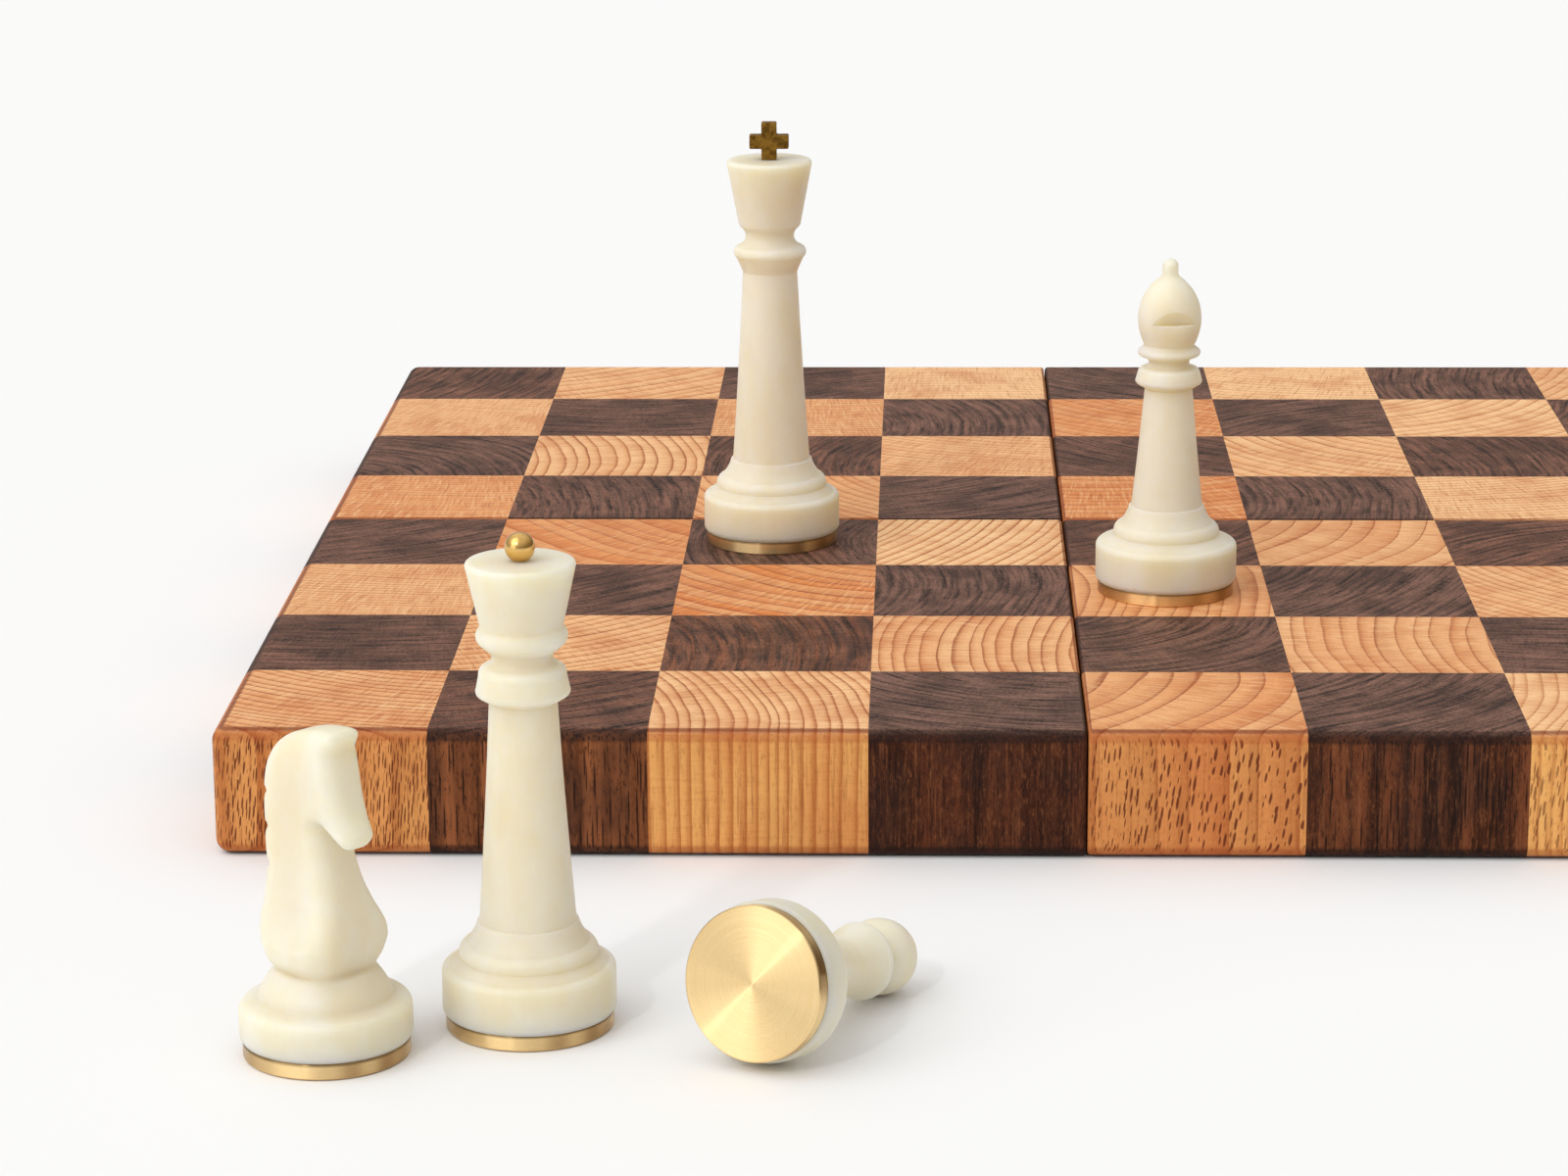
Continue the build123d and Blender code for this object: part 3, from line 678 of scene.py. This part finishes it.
def mesh_of(field, origin, step):
    """Points and faces of a field's zero surface: one point in each cell that it passes through."""
    inside = field < 0
    cells = tuple(n - 1 for n in field.shape)
    total = np.zeros(cells + (3,))
    count = np.zeros(cells)
    crossings = []
    for axis in range(3):
        near, far = np.moveaxis(field, axis, 0)[:-1], np.moveaxis(field, axis, 0)[1:]
        crossed = (near < 0) != (far < 0)
        share = np.where(crossed, near / np.where(crossed, near - far, 1), 0)
        crossed, share = np.moveaxis(crossed, 0, axis), np.moveaxis(share, 0, axis)
        crossings.append(crossed)
        first, second = [a for a in range(3) if a != axis]
        for i in (0, 1):
            for j in (0, 1):
                window = [slice(None)] * 3
                window[first] = slice(i, i + cells[first])
                window[second] = slice(j, j + cells[second])
                hit = crossed[tuple(window)]
                count += hit
                total[..., axis] += share[tuple(window)]
                total[..., first] += hit * i
                total[..., second] += hit * j
    used = count > 0
    number = np.full(cells, -1)
    number[used] = np.arange(used.sum())
    points = np.array(origin) + step * (np.argwhere(used) + total[used] / count[used][:, None])
    faces = []
    for axis, crossed in enumerate(crossings):
        first, second = (axis + 1) % 3, (axis + 2) % 3
        edge = np.argwhere(crossed)
        shift_first, shift_second = np.eye(3, dtype=int)[first], np.eye(3, dtype=int)[second]
        ring = [edge, edge - shift_first, edge - shift_first - shift_second, edge - shift_second]
        quads = np.stack([number[tuple(corner.T)] for corner in ring], axis=1)
        outwards = inside[tuple(edge.T)]
        quads[~outwards] = quads[~outwards][:, ::-1]
        faces.append(quads)
    return points, np.vstack(faces)


def carve_knight(resin):
    low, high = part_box("knight_brass_base")
    centre = (low + high) / 2 / MM
    level = np.arange(-FIELD_REACH, FIELD_REACH, CELL)
    upright = np.arange(FIELD_LOW, FIELD_HIGH, CELL)
    field = knight_field(*np.meshgrid(level, level, upright, indexing="ij"))
    points, faces = mesh_of(field, [level[0], level[0], upright[0]], CELL)
    x = centre.x + points[:, 0] * cos(KNIGHT_TURN) + points[:, 1] * sin(KNIGHT_TURN)
    y = centre.y - points[:, 0] * sin(KNIGHT_TURN) + points[:, 1] * cos(KNIGHT_TURN)
    mesh = bpy.data.meshes.new("knight_figure")
    mesh.from_pydata((np.column_stack([x, y, points[:, 2]]) * MM).tolist(), [], faces.tolist())
    mesh.materials.append(resin)
    mesh.shade_smooth()
    knight = bpy.data.objects.new("knight_figure", mesh)
    bpy.context.scene.collection.objects.link(knight)
    smooth = knight.modifiers.new("smooth", "SMOOTH")
    smooth.factor = 0.5
    smooth.iterations = 3
    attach(knight, "knight")
    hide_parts("knight_body")


# --- Stage ----------------------------------------------------------------------------------------
FLOOR_REACH = 30.0  # metres from the middle, each way
FLOOR_DROP = 0.2 * MM  # below z = 0, where the board and the men beside it rest

# light from around, as shares of full white
WALL_LIGHT = 0.29
CEILING_LIGHT = 0.93
WALL_SLOPE = 0.16  # lost towards the right and gained towards the left
LEAST_LIGHT = 0.1
SEEN_LIGHT = 0.95  # what the camera sees instead, whatever shines on the pieces
LAMP_AZIMUTH = radians(48)  # lamp box, left of the direction towards the player
LAMP_HALF_WIDTH = radians(18)
LAMP_LIGHT = 1.0


def pale_floor():
    material, graph, shader = new_material("pale_floor")
    soft = graph.noise(graph.object_point(2.0), detail=1.0)
    tone = graph.mix(soft, (0.90, 0.90, 0.90, 1.0), (0.905, 0.905, 0.905, 1.0))
    graph.plug(shader.inputs["Base Color"], tone)
    shader.inputs["Roughness"].default_value = 0.9
    shader.inputs["Specular IOR Level"].default_value = 0.0
    mesh = bpy.data.meshes.new("floor")
    corners = [(-1, -1, 0), (1, -1, 0), (1, 1, 0), (-1, 1, 0)]
    mesh.from_pydata([(FLOOR_REACH * x, FLOOR_REACH * y, z) for x, y, z in corners], [], [(0, 1, 2, 3)])
    mesh.materials.append(material)
    floor = bpy.data.objects.new("floor", mesh)
    floor.location.z = -FLOOR_DROP
    bpy.context.scene.collection.objects.link(floor)


def sun(name, towards, strength, spread):
    """A far light that stands in the direction towards and is spread degrees wide."""
    lamp = bpy.data.lights.new(name, "SUN")
    lamp.energy = strength
    lamp.angle = radians(spread)
    holder = bpy.data.objects.new(name, lamp)
    holder.rotation_mode = "QUATERNION"
    holder.rotation_quaternion = Vector(towards).to_track_quat("Z", "Y")
    bpy.context.scene.collection.objects.link(holder)


def lamp_box(graph, direction, z):
    """Share of the lamp box in the light from a direction: a tall upright window."""
    lamp_side = Vector((-sin(LAMP_AZIMUTH), -cos(LAMP_AZIMUTH), 0))
    facing = graph.dot(graph.vector_math("NORMALIZE", graph.stretch(direction, 1, 1, 0)), lamp_side)
    across = graph.ramp(facing, cos(LAMP_HALF_WIDTH * 1.3), cos(LAMP_HALF_WIDTH * 0.8))
    return graph.product(across, graph.ramp(z, -0.05, 0.02), graph.ramp(z, 0.62, 0.78, 1.0, 0.0))


def studio_world():
    """White ceiling over darker walls, warmer on the right, with a tall lamp box on the left."""
    world = bpy.data.worlds.new("studio")
    bpy.context.scene.world = world
    world.use_nodes = True
    tree = world.node_tree
    tree.nodes.clear()
    graph = Graph(tree)
    direction = graph.add("ShaderNodeTexCoord", output="Generated")
    x, _, z = graph.xyz(direction)
    ceiling = graph.ramp(z, 0.0, 0.9, WALL_LIGHT, CEILING_LIGHT)
    walls = graph.math("MAXIMUM", graph.math("MULTIPLY_ADD", x, -WALL_SLOPE, ceiling), LEAST_LIGHT)
    strength = graph.math("MULTIPLY_ADD", lamp_box(graph, direction, z), LAMP_LIGHT, walls)

    # the camera itself sees a plain pale room
    seen = graph.add("ShaderNodeLightPath", output="Is Camera Ray")
    strength = graph.math("MULTIPLY_ADD", seen, graph.math("SUBTRACT", SEEN_LIGHT, strength), strength)
    unseen = graph.math("SUBTRACT", 1.0, seen)
    warm = graph.product(graph.ramp(x, -0.1, 0.8), graph.ramp(z, 0.1, 0.7, 1.0, 0.0), unseen)
    background = tree.nodes.new("ShaderNodeBackground")
    output = tree.nodes.new("ShaderNodeOutputWorld")
    graph.plug(background.inputs["Color"], graph.mix(warm, (1.0, 1.0, 1.0, 1.0), (1.0, 0.85, 0.58, 1.0)))
    graph.plug(background.inputs["Strength"], strength)
    tree.links.new(background.outputs[0], output.inputs["Surface"])


# The photograph's camera, solved on the board's grid of glue lines.
CAMERA_PLACE = (-0.03256, -0.97049, 0.28441)  # metres
CAMERA_AZIMUTH = radians(-1.936)  # its view, from +Y towards +X
CAMERA_DIP = radians(14.879)  # its view, below the level
CAMERA_ROLL = radians(-0.385)
CAMERA_LENS = 100.92  # millimetres, on a sensor 36 wide


def camera():
    """Camera at the photograph's angle: a little left of the board's middle, looking down on it."""
    out = cos(CAMERA_DIP)
    forward = Vector((sin(CAMERA_AZIMUTH) * out, cos(CAMERA_AZIMUTH) * out, -sin(CAMERA_DIP)))
    level = Vector((cos(CAMERA_AZIMUTH), -sin(CAMERA_AZIMUTH), 0))
    upward = level.cross(forward)
    right = cos(CAMERA_ROLL) * level + sin(CAMERA_ROLL) * upward
    data = bpy.data.cameras.new("camera")
    data.sensor_width = 36.0
    data.lens = CAMERA_LENS
    data.clip_start = 0.01
    data.clip_end = 100.0
    holder = bpy.data.objects.new("camera", data)
    turn = Matrix((right, right.cross(forward), -forward)).transposed().to_4x4()
    holder.matrix_world = Matrix.Translation(CAMERA_PLACE) @ turn
    bpy.context.scene.collection.objects.link(holder)
    bpy.context.scene.camera = holder


lay_wood()
ivory = resin_material()
steel = bright_steel()
dress_men(ivory, steel)
carve_knight(ivory)
pale_floor()
studio_world()
sun("key", towards=(-0.60, -0.40, 0.85), strength=0.70, spread=50)
sun("spark", towards=(-0.35, -0.72, 0.63), strength=0.34, spread=3)
camera()
bpy.context.scene.view_settings.view_transform = "Standard"
